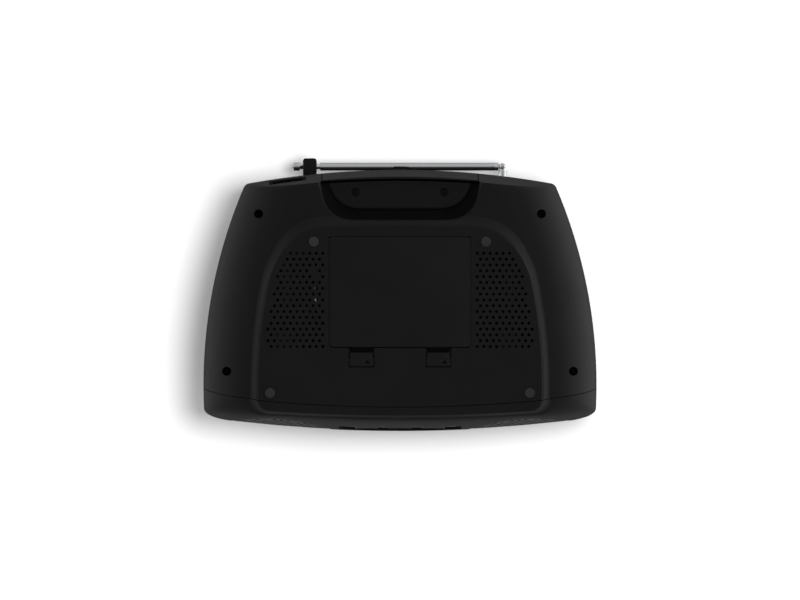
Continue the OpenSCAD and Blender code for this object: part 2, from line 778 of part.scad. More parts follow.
// Antenna: a swivelling post, a tilting mast and three sections that slide out of it.
mast_y = 99.3;
mast_x = -79.8;
mast_x0 = mast_x + 3.3;
mast_x1 = 62;
tongue_t = 2.2;
module antenna_base() {
    color(CHROME) difference() {
        union() {
            rod_y(mast_x, mast_z, 82, 96.2, 3.35);
            rod_y(mast_x, mast_z, 96.1, mast_y, 2.8);
            translate([mast_x, mast_y, mast_z]) sphere(3);
        }
        block([mast_x - 5, mast_x + 5], [96.6, 105],
            [mast_z - tongue_t / 2 - 0.2, mast_z + tongue_t / 2 + 0.2]);
        rod(mast_x, mast_y, mast_z - 5, mast_z + 5, 0.95);
    }
}
module antenna_mast() {
    color(CHROME) difference() {
        union() {
            rod_x(mast_y, mast_z, mast_x0, mast_x1, mast_d / 2);
            for (x = [-72.9, -70]) rod_x(mast_y, mast_z, x - 0.4, x + 0.4, mast_d / 2 + 0.15);
            rod(mast_x, mast_y, mast_z - tongue_t / 2, mast_z + tongue_t / 2, 2.4);
            block([mast_x, mast_x0 + 1], [mast_y - 1.8, mast_y + 1.8],
                [mast_z - tongue_t / 2, mast_z + tongue_t / 2]);
            rod(mast_x, mast_y, mast_z - 2.7, mast_z + 2.7, 0.9);
        }
        rod_x(mast_y, mast_z, -71, mast_x1 + 1, 2.68);
    }
}
module antenna_tube_2() {
    color(CHROME) difference() {
        rod_x(mast_y, mast_z, -69.5, mast_x1, 2.6);
        rod_x(mast_y, mast_z, -68.5, mast_x1 + 1, 2.28);
    }
}
module antenna_tube_3() {
    color(CHROME) difference() {
        rod_x(mast_y, mast_z, -67.5, mast_x1, 2.2);
        rod_x(mast_y, mast_z, -66.5, mast_x1 + 1, 1.88);
    }
}
module antenna_tip() {
    color(CHROME) {
        rod_x(mast_y, mast_z, -65, mast_x1 + 1, 1.8);
        rod_x(mast_y, mast_z, mast_x1 + 0.4, 79, 1.95);
        rod_x(mast_y, mast_z, 78, 82.6, 3.15);
        translate([82.3, mast_y, mast_z]) sphere(1.5);
    }
}
module antenna_clip() {
    color(BLACK) {
        difference() {
            union() {
                block([64.7, 75.4], [88, body_d / 2], [87, mast_z - 3.4]);
                block([-5.2, 5.2], [92, mast_y + 0.2], [88, mast_z - 3.4]);
            }
            form(0);
        }
    }
}

bottom_cabinet();
front_cabinet();
top_cabinet();
control_panel();
speaker_grille_left();
speaker_grille_right();
speaker_basket_left();
speaker_basket_right();
speaker_cone_left();
speaker_cone_right();
speaker_magnet_left();
speaker_magnet_right();
lcd_window();
lcd_module();
key_board();
play_button();
stop_button();
previous_button();
next_button();
program_button();
power_button();
headphone_jack();
lid_button();
cd_lid();
lid_window();
disc_clamp();
lid_hinge_pins();
cd_chassis();
chassis_dampers();
spindle_motor();
turntable();
laser_pickup();
guide_rods();
sled_motor();
sled_gear();
main_board();
board_parts();
volume_knob();
volume_pot();
tuning_knob();
tuning_capacitor();
function_slider();
band_slider();
slide_switches();
battery_door();
door_latch_left();
door_latch_right();
battery_cells();
battery_springs();
battery_plates();
mains_inlet();
transformer();
rubber_feet();
case_screws();
antenna_base();
antenna_mast();
antenna_tube_2();
antenna_tube_3();
antenna_tip();
antenna_clip();
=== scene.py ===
"""Looks of the portable CD radio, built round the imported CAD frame.

Shapes are worked out in millimetres in the object's own frame: the front faces -y, the feet stand
on z = 0. They become metres when a mesh is made.
"""

import json
import math

import bpy
import numpy as np
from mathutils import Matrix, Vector
from mathutils.bvhtree import BVHTree


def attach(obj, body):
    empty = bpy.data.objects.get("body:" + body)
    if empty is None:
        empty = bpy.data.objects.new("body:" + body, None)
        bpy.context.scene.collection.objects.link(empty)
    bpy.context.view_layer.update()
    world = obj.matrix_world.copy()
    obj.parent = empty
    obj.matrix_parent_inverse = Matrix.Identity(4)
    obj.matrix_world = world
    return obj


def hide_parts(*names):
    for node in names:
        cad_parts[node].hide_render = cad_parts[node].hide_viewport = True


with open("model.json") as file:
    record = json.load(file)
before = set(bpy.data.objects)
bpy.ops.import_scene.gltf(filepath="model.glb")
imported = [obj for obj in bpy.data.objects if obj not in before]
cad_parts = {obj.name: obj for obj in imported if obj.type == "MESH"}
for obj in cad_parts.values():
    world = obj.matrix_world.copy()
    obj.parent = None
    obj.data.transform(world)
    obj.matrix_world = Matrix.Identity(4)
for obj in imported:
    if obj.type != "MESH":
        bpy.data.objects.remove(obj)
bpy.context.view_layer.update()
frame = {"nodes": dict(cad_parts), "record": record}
MM = 0.001
SIDES = (-1, 1)

# Millimetres. A place given as (x, y) is used on both sides, at +x and -x.
SPLIT_Z, BASE_Z, WALL, GAP = 55.0, 3.0, 2.5, 0.25    # shell split, foot plate, wall, clearance
GRIP_Z = 30.0                                        # floor of the finger recess
SEAM_Y, SEAM_R, SEAM_TILT = -86.5, 1150.0, math.radians(6)
CASE_SCREWS = [(109.4, 62.3), (134.1, -59.4)]
GRIP_SCREW = (34.2, 79.1)
FEET = [(66.6, 40.8), (100.4, -76.1)]
LATCH_X, LATCH_Y = 29.75, -48.85
TONGUE_X = 42
KNOB = (86, -38)
DISC_Y = 5
SPEAKER_X, SPEAKER_Z, SPEAKER_BOW = 92, 56.0, 1100
MAST_X, MAST_Z = -79.8, 96
# Holes in each row of a cooling field, from the rear; the pitch along and between the rows.
VENT_COUNTS = [6, 6, 7, 7, 8, 7, 8, 8, 8, 8, 9, 8, 9, 9, 9, 9, 9]
VENT_X, VENT_Y, VENT_STEP, VENT_ROW = 59.7, 31.8, 4.98, 4.5

# ---------------------------------------------------------------- plan outlines

# Height, then how far the side, front and back lie inside the widest outline.
FORM = np.array([
    [9, 40, 9.2, 7], [11, 28, 7.5, 6.4], [15, 18.5, 5.6, 5.3], [22, 10.2, 3.4, 3.6],
    [32, 4, 1.4, 1.5], [44, 0.6, 0.2, 0.3], [56, 0, 0, 0], [72, 0.6, 0.6, 0],
    [88, 3, 2.4, 0.5], [100, 8, 5.4, 2.2], [109, 15, 9.6, 5.5], [115.5, 25, 15, 10],
    [119, 38, 22.5, 15], [120, 50, 30, 20]])
FORM_Z, FORM_TOP = FORM[[0, -1], 0]


def side_x(y, inset):
    return math.sqrt(390 ** 2 - (y + 70) ** 2) - 237.63 - inset


def front_y(x, inset):
    return -105.77 + inset + x * x / 2200


def back_y(x, inset):
    return 96.6 - inset - x * x / 1312


def bend(a, c, b, n):
    t = np.linspace(0, 1, n + 1)[:, None]
    return np.array(a) * (1 - t) ** 2 + np.array(c) * 2 * t * (1 - t) + np.array(b) * t * t


def both_sides(half):
    half = np.array(half, float)
    other = half[::-1] * [-1, 1]
    return np.vstack([half, other[np.abs(other[:, 0]) > 0.01]])


def ring(side, front, back, fine=1):
    """One closed outline of the cabinet; fine multiplies its number of points."""
    xf = side_x(front_y(side_x(-95, side), front), side)
    yf = front_y(xf, front)
    xb = side_x(back_y(side_x(85, side), back), side)
    yb = back_y(xb, back)
    along, up, rear = 24 + side * 0.2, 7 + side * 0.3, 3 + side * 0.1
    y0, y1 = yf + up, yb - rear
    half = [
        [(x, front_y(x, front)) for x in np.linspace(0, xf - along, 6 * fine + 1)[:-1]],
        bend((xf - along, front_y(xf - along, front)), (xf, yf), (side_x(y0, side), y0), 8 * fine),
        [(side_x(y, side), y) for y in np.linspace(y0, y1, 12 * fine + 1)[1:-1]],
        bend((side_x(y1, side), y1), (xb, yb), (xb - rear, back_y(xb - rear, back)), 4 * fine),
        [(x, back_y(x, back)) for x in np.linspace(xb - rear, 0, 7 * fine + 1)[1:]]]
    return both_sides(np.vstack(half))


def smooth_rows(rows, steps):
    """A Catmull-Rom curve through the rows, so the flanks curve without facets."""
    p = np.vstack([2 * rows[0] - rows[1], rows, 2 * rows[-1] - rows[-2]])
    out = []
    for i in range(1, len(p) - 2):
        a, b, c, d = p[i - 1:i + 3]
        for t in np.arange(steps) / steps:
            out.append(0.5 * (2 * b + (c - a) * t + (2 * a - 5 * b + 4 * c - d) * t * t
                              + (3 * b - a - 3 * c + d) * t ** 3))
    return np.array(out + [rows[-1]])


def turning(outline):
    """Twice the signed area: positive where the outline runs anticlockwise from above."""
    x, y = outline[:, 0], outline[:, 1]
    return float(np.sum(x * np.roll(y, -1) - np.roll(x, -1) * y))


def flat(outline, z):
    """The outline as points in space; z is one height, or one for each point."""
    z = np.full(len(outline), z) if np.isscalar(z) else z
    return np.column_stack([outline, z])


# ---------------------------------------------------------------- solids and booleans

def mesh_object(name, points, faces):
    mesh = bpy.data.meshes.new(name)
    mesh.from_pydata((np.asarray(points, float) * MM).tolist(), [], faces)
    mesh.validate()
    obj = bpy.data.objects.new(name, mesh)
    bpy.context.scene.collection.objects.link(obj)
    return obj


def skin(name, rings):
    """A closed solid through rings with the same number of points, capped at both ends."""
    n, last = len(rings[0]), (len(rings) - 1) * len(rings[0])
    faces = [list(range(n - 1, -1, -1)), [last + i for i in range(n)]]
    for a in range(0, last, n):
        faces += [[a + i, a + (i + 1) % n, a + n + (i + 1) % n, a + n + i] for i in range(n)]
    return mesh_object(name, np.vstack(rings), faces)


def loft(rings, name="loft"):
    """A closed solid through outlines that lie one above another, from low to high."""
    rings = [np.asarray(r, float) for r in rings]
    if turning(rings[0]) < 0:
        rings = [r[::-1] for r in rings]
    return skin(name, rings)


def prism(outline, z0, z1, top=None):
    """An extruded outline; top gives another outline at z1, for a draft or chamfer."""
    return loft([flat(outline, z0), flat(outline if top is None else top, z1)])


def box(x, y, z):
    return prism([(x[0], y[0]), (x[1], y[0]), (x[1], y[1]), (x[0], y[1])], z[0], z[1])


def across(x, half, y, z):
    """A box centred on x."""
    return box((x - half, x + half), y, z)


def circle(x, y, r, n=40):
    a = np.linspace(0, 2 * math.pi, n, endpoint=False) + math.pi / n
    return np.column_stack([x + r * np.cos(a), y + r * np.sin(a)])


def rod(x, y, z0, z1, r, n=40, r1=None):
    return prism(circle(x, y, r, n), z0, z1, circle(x, y, r if r1 is None else r1, n))


def rod_along(axis, a, b, c0, c1, r, n=40):
    """A cylinder along x (a, b are y, z) or along y (a, b are x, z)."""
    p = circle(0, 0, r, n)
    if axis == "x":
        rings = [np.column_stack([np.full(n, c), a + p[:, 0], b + p[:, 1]]) for c in (c0, c1)]
    else:
        rings = [np.column_stack([a - p[:, 0], np.full(n, c), b + p[:, 1]]) for c in (c0, c1)]
    return skin("rod", rings)


def rounded(w, h, r, n=6):
    """A rounded rectangle about the origin."""
    pts = []
    for sx, sy, start in ((1, 1, 0), (-1, 1, 90), (-1, -1, 180), (1, -1, 270)):
        for k in range(n + 1):
            a = math.radians(start + 90 * k / n)
            pts.append((sx * (w / 2 - r) + r * math.cos(a), sy * (h / 2 - r) + r * math.sin(a)))
    return np.array(pts)


def front_plate(x, z, w, h, y0, y1, r):
    """A rounded plate that faces the front, from y0 back to y1."""
    p = rounded(w, h, r)
    return skin("plate", [np.column_stack([x + p[:, 0], np.full(len(p), y), z + p[:, 1]])
                          for y in (y1, y0)])


def joined(parts):
    """Separate solids that don't touch, as one mesh."""
    points, faces, start = [], [], 0
    for o in parts:
        points += [v.co[:] for v in o.data.vertices]
        faces += [[start + i for i in p.vertices] for p in o.data.polygons]
        start = len(points)
        drop(o)
    return mesh_object("joined", np.array(points) / MM, faces)


def copy_of(obj):
    new = bpy.data.objects.new(obj.name + "_copy", obj.data.copy())
    bpy.context.scene.collection.objects.link(new)
    return new


def drop(obj):
    bpy.data.objects.remove(obj)


def apply_modifiers(obj):
    graph = bpy.context.evaluated_depsgraph_get()
    mesh = bpy.data.meshes.new_from_object(obj.evaluated_get(graph))
    obj.modifiers.clear()
    obj.data = mesh


def add_bevel(obj, width, segments, angle):
    m = obj.modifiers.new("edge", "BEVEL")
    m.width, m.segments, m.limit_method = width * MM, segments, "ANGLE"
    m.angle_limit = math.radians(angle)


def bevelled(obj, width, segments=2, angle=35):
    add_bevel(obj, width, segments, angle)
    apply_modifiers(obj)
    return obj


def combine(obj, *steps):
    """Applies boolean steps in turn. A step is ("+", "-" or "&", solid, solid, ...)."""
    used = []
    names = {"+": "UNION", "-": "DIFFERENCE", "&": "INTERSECT"}
    for sign, *solids in steps:
        for s in solids:
            m = obj.modifiers.new("cut", "BOOLEAN")
            m.operation, m.solver, m.object = names[sign], "MANIFOLD", s
            used.append(s)
    apply_modifiers(obj)
    for s in dict.fromkeys(used):
        drop(s)
    return obj


class Reference:
    """Surfaces whose smooth normals a cut mesh takes over, so cuts leave no shading marks."""

    def __init__(self, *objects):
        self.surfaces = []
        for o in objects:
            mesh = o.data
            smooth_by_angle(mesh, 32)
            mesh.calc_loop_triangles()
            tris = [tuple(t.vertices) for t in mesh.loop_triangles]
            loops = [tuple(t.loops) for t in mesh.loop_triangles]
            points = [v.co.copy() for v in mesh.vertices]
            normals = np.zeros(len(mesh.loops) * 3, np.float32)
            mesh.corner_normals.foreach_get("vector", normals)
            self.surfaces.append((BVHTree.FromPolygons(points, tris), points, tris, loops,
                                  normals.reshape(-1, 3)))

    def normal(self, point, facing):
        for tree, points, tris, loops, normals in self.surfaces:
            found = tree.find_nearest(point, 0.06 * MM)
            if found[0] is None or found[1].dot(facing) < 0.9:
                continue
            a, b, c = (points[i] for i in tris[found[2]])
            w = barycentric(found[0], a, b, c)
            n = sum((normals[l] * s for l, s in zip(loops[found[2]], w)), np.zeros(3))
            return n / max(np.linalg.norm(n), 1e-9)
        return None


def barycentric(p, a, b, c):
    ab, ac, ap = b - a, c - a, p - a
    d00, d01, d11 = ab.dot(ab), ab.dot(ac), ac.dot(ac)
    d20, d21 = ap.dot(ab), ap.dot(ac)
    d = d00 * d11 - d01 * d01
    if abs(d) < 1e-20:
        return 1, 0, 0
    v, w = (d11 * d20 - d01 * d21) / d, (d00 * d21 - d01 * d20) / d
    return 1 - v - w, v, w


def smooth_by_angle(mesh, degrees):
    mesh.shade_smooth()
    mesh.set_sharp_from_angle(angle=math.radians(degrees))


def dress(obj, material, reference=None, angle=32):
    """Smooth shading, with the normals of the uncut surface where the mesh still lies on it."""
    mesh = obj.data
    smooth_by_angle(mesh, angle)
    if reference:
        normals = np.zeros(len(mesh.loops) * 3, np.float32)
        mesh.corner_normals.foreach_get("vector", normals)
        normals = normals.reshape(-1, 3)
        for poly in mesh.polygons:
            centre, facing = poly.center, poly.normal
            for li in poly.loop_indices:
                co = mesh.vertices[mesh.loops[li].vertex_index].co
                n = reference.normal(co.lerp(centre, 0.02), facing)
                if n is not None:
                    normals[li] = n
        mesh.normals_split_custom_set(normals.tolist())
    mesh.materials.clear()
    mesh.materials.append(material)
    return obj


# ---------------------------------------------------------------- materials

def node_tree(name):
    """A new material with its tree, its shader and its object coordinates."""
    mat = bpy.data.materials.new(name)
    mat.use_nodes = True
    tree = mat.node_tree
    shader = tree.nodes["Principled BSDF"]
    coords = tree.nodes.new("ShaderNodeTexCoord").outputs["Object"]
    return mat, tree, shader, coords


def noise(tree, coords, scale, detail=2.0, stretch=None, kind="ShaderNodeTexNoise"):
    if stretch:
        m = tree.nodes.new("ShaderNodeMapping")
        m.inputs["Scale"].default_value = stretch
        tree.links.new(coords, m.inputs["Vector"])
        coords = m.outputs["Vector"]
    n = tree.nodes.new(kind)
    n.inputs["Scale"].default_value = scale
    if "Detail" in n.inputs:
        n.inputs["Detail"].default_value = detail
    tree.links.new(coords, n.inputs["Vector"])
    return n.outputs["Distance"] if kind.endswith("Voronoi") else n.outputs[0]


def spread(tree, value, low, high, start=0.3, end=0.7):
    n = tree.nodes.new("ShaderNodeMapRange")
    for key, number in (("From Min", start), ("From Max", end), ("To Min", low), ("To Max", high)):
        n.inputs[key].default_value = number
    tree.links.new(value, n.inputs["Value"])
    return n.outputs["Result"]


def tint(tree, value, dark, light):
    n = tree.nodes.new("ShaderNodeMix")
    n.data_type = "RGBA"
    n.inputs["A"].default_value = (*dark, 1)
    n.inputs["B"].default_value = (*light, 1)
    tree.links.new(value, n.inputs["Factor"])
    return n.outputs["Result"]


def bump(tree, shader, height, strength, depth):
    n = tree.nodes.new("ShaderNodeBump")
    n.inputs["Strength"].default_value = strength
    n.inputs["Distance"].default_value = depth * MM
    tree.links.new(height, n.inputs["Height"])
    tree.links.new(n.outputs["Normal"], shader.inputs["Normal"])


def surface(name, colour, rough, grain=1400, depth=0.02, strength=0.25, vary=0.12, metallic=0.0,
            specular=0.5, patch=35, stretch=None, kind="ShaderNodeTexNoise", coat=0.0):
    """A procedural finish: colour and roughness drift over patches, fine grain gives the bump."""
    mat, tree, shader, coords = node_tree(name)
    drift = spread(tree, noise(tree, coords, patch, 4), 0, 1)
    dark = [c * (1 - vary) for c in colour]
    light = [min(1, c * (1 + vary)) for c in colour]
    tree.links.new(tint(tree, drift, dark, light), shader.inputs["Base Color"])
    fine = noise(tree, coords, grain, 3, stretch, kind)
    mixed = tree.nodes.new("ShaderNodeMath")
    mixed.operation = "ADD"
    tree.links.new(spread(tree, fine, -0.04, 0.04), mixed.inputs[0])
    tree.links.new(spread(tree, noise(tree, coords, patch * 1.7, 3), rough * 0.92, rough * 1.08),
                   mixed.inputs[1])
    tree.links.new(mixed.outputs[0], shader.inputs["Roughness"])
    bump(tree, shader, fine, strength, depth)
    shader.inputs["Metallic"].default_value = metallic
    shader.inputs["Specular IOR Level"].default_value = specular
    shader.inputs["Coat Weight"].default_value = coat
    return mat


BLACK = (0.0031, 0.0031, 0.0032)
M = {
    "cabinet": surface("moulded_black", BLACK, 0.36, 1500, 0.03, 0.35, 0.1, specular=0.19),
    # recess: painted shade, a near-black copy of the cabinet plastic that stands in for the shade
    # in hollows; it darkens the latch hooks, the latch arrows and the mains inlet
    "recess": surface("painted_shade_black", (0.0012, 0.0012, 0.0012), 0.6, 1500, 0.03, 0.3,
                      specular=0.03),
    "panel": surface("satin_panel", (0.014, 0.014, 0.016), 0.28, 2200, 0.01, 0.15, specular=0.4),
    "inner": surface("inner_plastic", (0.03, 0.03, 0.032), 0.5, 1200, 0.03),
    "grille": surface("grille_coat", (0.02, 0.02, 0.022), 0.42, 2600, 0.02, 0.3, metallic=0.3),
    "steel": surface("zinc_steel", (0.5, 0.51, 0.53), 0.32, 400, 0.01, 0.3, 0.1, 1.0, patch=60,
                     stretch=(1, 12, 1)),
    "cone": surface("pressed_paper", (0.022, 0.021, 0.02), 0.75, 900, 0.08, 0.6, 0.25,
                    stretch=(3, 1, 1)),
    "rod": surface("ground_rod", (0.1, 0.1, 0.105), 0.3, 300, 0.005, 0.2, metallic=0.9,
                   stretch=(1, 16, 16)),
    "chassis": surface("painted_steel", (0.012, 0.012, 0.013), 0.5, 1200, 0.02, 0.3),
    "laminate": surface("stacked_laminate", (0.03, 0.027, 0.025), 0.5, 500, 0.05, 0.6,
                        stretch=(1, 1, 14)),
    "magnet": surface("ferrite", (0.06, 0.06, 0.063), 0.55, 1800, 0.05, 0.5, 0.3),
    "lcd": surface("lcd_backing", (0.2, 0.24, 0.19), 0.2, 2600, 0.005, 0.1),
    "board": surface("solder_mask", (0.015, 0.11, 0.045), 0.3, 900, 0.04, 0.4, 0.35, patch=160),
    "key": surface("satin_grey", (0.10, 0.102, 0.108), 0.34, 2400, 0.01, 0.15, 0.06),
    "front_key": surface("dark_satin_grey", (0.035, 0.035, 0.038), 0.34, 2400, 0.01, 0.15, 0.08),
    "screw": surface("black_oxide", (0.002, 0.002, 0.0022), 0.32, 1500, 0.02, 0.3, specular=0.14),
    "damper": surface("soft_rubber", (0.02, 0.02, 0.02), 0.8, 1200, 0.04, 0.5),
    "foot": surface("foot_rubber", (0.0115, 0.0115, 0.0115), 0.75, 1600, 0.04, 0.5, 0.15,
                    specular=0.3),
    "chrome": surface("bright_chrome", (0.82, 0.83, 0.85), 0.07, 500, 0.002, 0.1, 0.03, 1.0,
                      stretch=(1, 14, 14)),
    "nylon": surface("nylon", (0.7, 0.67, 0.58), 0.45, 700, 0.02, 0.2, 0.06),
    "wrap": surface("cell_wrap", (0.06, 0.09, 0.14), 0.22, 300, 0.01, 0.1, 0.1, coat=0.4),
}


def clear(name, colour, rough):
    """A clear plastic with faint smudges."""
    mat, tree, shader, coords = node_tree(name)
    smudge = noise(tree, coords, 45, 4)
    tree.links.new(spread(tree, smudge, rough * 0.6, rough * 1.6), shader.inputs["Roughness"])
    tree.links.new(tint(tree, spread(tree, smudge, 0, 1), [c * 0.94 for c in colour], colour),
                   shader.inputs["Base Color"])
    bump(tree, shader, noise(tree, coords, 900, 2), 0.05, 0.005)
    shader.inputs["Transmission Weight"].default_value = 0.85
    shader.inputs["IOR"].default_value = 1.46
    return mat


M["window"] = clear("smoked_window", (0.20, 0.21, 0.23), 0.06)

SLOT_LOOK = {
    "cabinet_plastic": "cabinet", "panel_plastic": "panel", "inner_plastic": "inner",
    "grille_metal": "grille", "bare_steel": "steel", "paper_cone": "cone", "magnet": "magnet",
    "clear_window": "window", "lcd_glass": "lcd", "circuit_board": "board",
    "key_plastic": "key", "screw_steel": "screw", "damper_rubber": "damper",
    "foot_rubber": "foot", "chrome": "chrome", "gear_nylon": "nylon", "cell_wrap": "wrap"}
# The mains inlet takes the recess look: painted shade that makes it darker than its own plastic.
NODE_LOOK = {"cd_chassis": "chassis", "tuning_capacitor": "inner", "transformer": "laminate",
             "spindle_motor": "chassis", "sled_motor": "chassis", "guide_rods": "rod",
             "mains_inlet": "recess"}
NODE_LOOK.update({k + "_button": "front_key" for k in
                  ("play", "stop", "previous", "next", "program", "power")})
BEVELS = {"cabinet_plastic": 0.35, "panel_plastic": 0.35, "key_plastic": 0.45,
          "grille_metal": 0.0, "chrome": 0.12, "foot_rubber": 0.35, "screw_steel": 0.15}
slot_of = {s["node"]: s["material_slot"] for s in frame["record"]["subparts"]}
for name, node in frame["nodes"].items():
    slot = slot_of[name]
    node.data.materials.clear()
    node.data.materials.append(M[NODE_LOOK.get(name, SLOT_LOOK[slot])])
    weld = node.modifiers.new("weld", "WELD")
    weld.merge_threshold = 0.004 * MM
    width = BEVELS.get(slot, 0.15)
    if width:
        add_bevel(node, width, 2, 38)

# ---------------------------------------------------------------- cabinet forms

FORM_FLOOR = np.array([[FORM_Z, 50, 12.5, 10.5]])


def form(shrink, fine=1, steps=1):
    """The cabinet's outer form, or with shrink, the same form that much inside it."""
    squeeze = (FORM_TOP - FORM_Z - 2 * shrink) / (FORM_TOP - FORM_Z)
    rows = np.vstack([FORM_FLOOR, smooth_rows(FORM, steps)])
    rings = []
    for z, s, f, b in rows:
        outline = ring(s + shrink, f + shrink, b + shrink, fine)
        rings.append(flat(outline, FORM_Z + shrink + (z - FORM_Z) * squeeze))
    return loft(rings, "form")


def evenly(outline, n):
    """The closed outline resampled to n points at even spacing."""
    closed = np.vstack([outline, outline[:1]])
    run = np.concatenate([[0], np.cumsum(np.linalg.norm(np.diff(closed, axis=0), axis=1))])
    at = np.linspace(0, run[-1], n, endpoint=False)
    return np.column_stack([np.interp(at, run, closed[:, k]) for k in (0, 1)])


def outward(outline):
    """Unit normals of a closed outline, pointing out."""
    t = np.roll(outline, -1, 0) - np.roll(outline, 1, 0)
    n = np.column_stack([t[:, 1], -t[:, 0]])
    n /= np.linalg.norm(n, axis=1)[:, None]
    return n if turning(outline) > 0 else -n


def base_outline(shrink):
    """The foot plate's edge: straight sides that turn into a wide arch at the rear."""
    side, front, rear, corner = 42.3 + shrink, -93.7 + shrink, 55 - shrink, 9
    y0, y1, arch = front + 3.5 + corner, 14, 54
    half = np.vstack([
        [(x, front + x * x / 3000) for x in np.linspace(0, 100 - shrink, 12)[:-1]],
        bend((100 - shrink, front + 3.3), (109.5 - shrink, front + 3.8),
             (side_x(y0, side), y0), 14),
        [(side_x(y, side), y) for y in np.linspace(y0, y1, 26)[1:-1]],
        bend((side_x(y1, side), y1), (88.5 - shrink, rear), (arch, rear), 22),
        [(x, rear + 0.6 * (1 - x / arch)) for x in np.linspace(arch, 0, 8)[1:]]])
    return both_sides(half)


def base_with_skirt():
    """The foot plate: a crisp edge, then a hollow fillet that runs out on the flanks."""
    outline = evenly(base_outline(0), 260)
    n = outward(outline)
    for _ in range(6):
        n = (np.roll(n, 1, 0) + 2 * n + np.roll(n, -1, 0)) / 4
    n /= np.linalg.norm(n, axis=1)[:, None]
    side, ahead, rear = n[:, 0] ** 2, np.clip(-n[:, 1], 0, 1) ** 2, np.clip(n[:, 1], 0, 1) ** 2
    width = 9.5 * side + 2.7 * ahead + 7 * rear
    top = 9.2 + 1.1 * side
    soft = np.clip(rear * 1.6, 0, 1)
    start = math.radians(24)
    rings = [flat(outline - n * 7, BASE_Z), flat(outline - n * (0.3 + 2.7 * soft)[:, None], BASE_Z)]
    for t in (0, 0.06, 0.13, 0.22, 0.33, 0.45, 0.58, 0.72, 0.86, 1):
        a = start + t * (math.pi / 2 - start)
        out = width * (math.cos(start) - math.cos(a)) / math.cos(start)
        rise = (math.sin(a) - math.sin(start)) / (1 - math.sin(start))
        soft_out = -3 + t * (width + 3)
        soft_rise = t * t * (3 - 2 * t)
        out = out * (1 - soft) + soft_out * soft
        z = BASE_Z + 0.22 * (1 - soft)
        z = z + (top - z) * (rise * (1 - soft) + soft_rise * soft)
        rings.append(flat(outline + n * out[:, None], z))
    rings.append(flat(outline + n * (width * 0.9)[:, None], 14.0))
    return loft(rings, "base")


def grip_outline(rim, n=26):
    """The finger recess from below: its rim, or the smaller outline of its floor."""
    if rim:
        half = np.vstack([[(x, 57.9) for x in np.linspace(0, 36, 8)[:-1]],
                          bend((36, 58), (59.5, 58.6), (60.8, 84), n), [(61, 86.6), (61, 90)]])
    else:
        half = np.vstack([[(x, 66.7) for x in np.linspace(0, 30, 8)[:-1]],
                          bend((30, 66.7), (39.5, 66.7), (45.3, 71.1), n // 2),
                          bend((45.3, 71.1), (52.6, 76.6), (54.2, 84.7), n // 2)[1:],
                          [(54.3, 86.6), (54.3, 90)]])
    return both_sides(half)


def behind(half, shift, z0, z1):
    """The space behind the grip floor's rear edge, which bows back in the middle."""
    xs = np.linspace(-half, half, 25)
    edge = np.column_stack([xs, 88.0 + shift - 1.7 * (xs / 54) ** 2])
    return prism(np.vstack([edge, [(half, 112), (-half, 112)]]), z0, z1)


def grown(outline, amount):
    """The recess outline grown by amount, except along its open rear edge."""
    n = outward(outline)
    n[np.abs(outline[:, 1] - 90) < 0.01] = (0, 0)
    amount = np.full(len(outline), amount) if np.isscalar(amount) else amount
    return outline + n * amount[:, None]


def grip_bowl(grow):
    """The finger recess, with a rounded rim that flares where it meets the back."""
    rim, floor = grip_outline(True), grip_outline(False)
    turn = np.clip((rim[:, 1] - 80) / 6.6, 0, 1)
    lip = 1.3 + 2.6 * turn * turn * (3 - 2 * turn)
    rings = []
    if grow == 0:
        rings.append(flat(grown(rim, lip), 0))
        for a in np.linspace(0, 90, 7):
            a = math.radians(a)
            rings.append(flat(grown(rim, lip * (1 - math.sin(a))), 9 + lip * (1 - math.cos(a))))
    else:
        rings.append(flat(grown(rim, grow), 9.6))
    z0 = rings[-1][:, 2]
    for t in (0.25, 0.5, 0.75, 1):
        mix = rim * (1 - t) + floor * t
        rings.append(flat(grown(mix, grow), z0 + (GRIP_Z + grow - z0) * t))
    return loft(rings, "bowl")


def seam_zone(shift):
    """Everything in front of the front cabinet's seam, which leans back with height."""
    xs = np.linspace(-168, 168, 65)
    rings = []
    for z in (-25.0, 145.0):
        lean = (z - FORM_Z) * math.tan(SEAM_TILT)
        line = np.column_stack([xs, SEAM_Y + shift + xs * xs / (2 * SEAM_R) + lean])
        rings.append(flat(np.vstack([line, [(168, -170), (-168, -170)]]), z))
    return loft(rings, "zone")


def spots(points):
    """The places on both sides."""
    return [(s * x, y) for s in SIDES for x, y in points]


def vents():
    """The holes of both cooling fields; two places in the +x field have none."""
    holes = []
    for s in SIDES:
        for row, count in enumerate(VENT_COUNTS):
            for i in range(count):
                if s > 0 and i == 1 and row in (3, 4):
                    continue
                x = s * (VENT_X + (row % 2 / 2 + i) * VENT_STEP)
                y = VENT_Y - row * VENT_ROW
                holes.append(rod(x, y, BASE_Z - 1, 7, 1.2, 16))
    return joined(holes)


def door_outline(grow, front, r1):
    """The battery door's outline; r1 is the radius of its rear corners, by the hinge."""
    hx, rear, r0, n = 54.6, 44.6, 3.4, 8
    points = []
    for cx, cy, r, start in ((r0 - hx, front + r0, r0, 180), (hx - r0, front + r0, r0, 270),
                             (hx - r1, rear - r1, r1, 0), (r1 - hx, rear - r1, r1, 90)):
        for k in range(n + 1):
            a = math.radians(start + 90 * k / n)
            points.append((cx + (r + grow) * math.cos(a), cy + (r + grow) * math.sin(a)))
    return np.array(points)


outer = form(0, 2, 4)
inner = form(WALL)
base = base_with_skirt()
bowl = grip_bowl(0)
reference = Reference(outer, base, bowl)
shell_form = combine(copy_of(outer), ("+", copy_of(base)))
hollow = combine(copy_of(inner), ("+", prism(base_outline(WALL), BASE_Z + WALL, 17)))


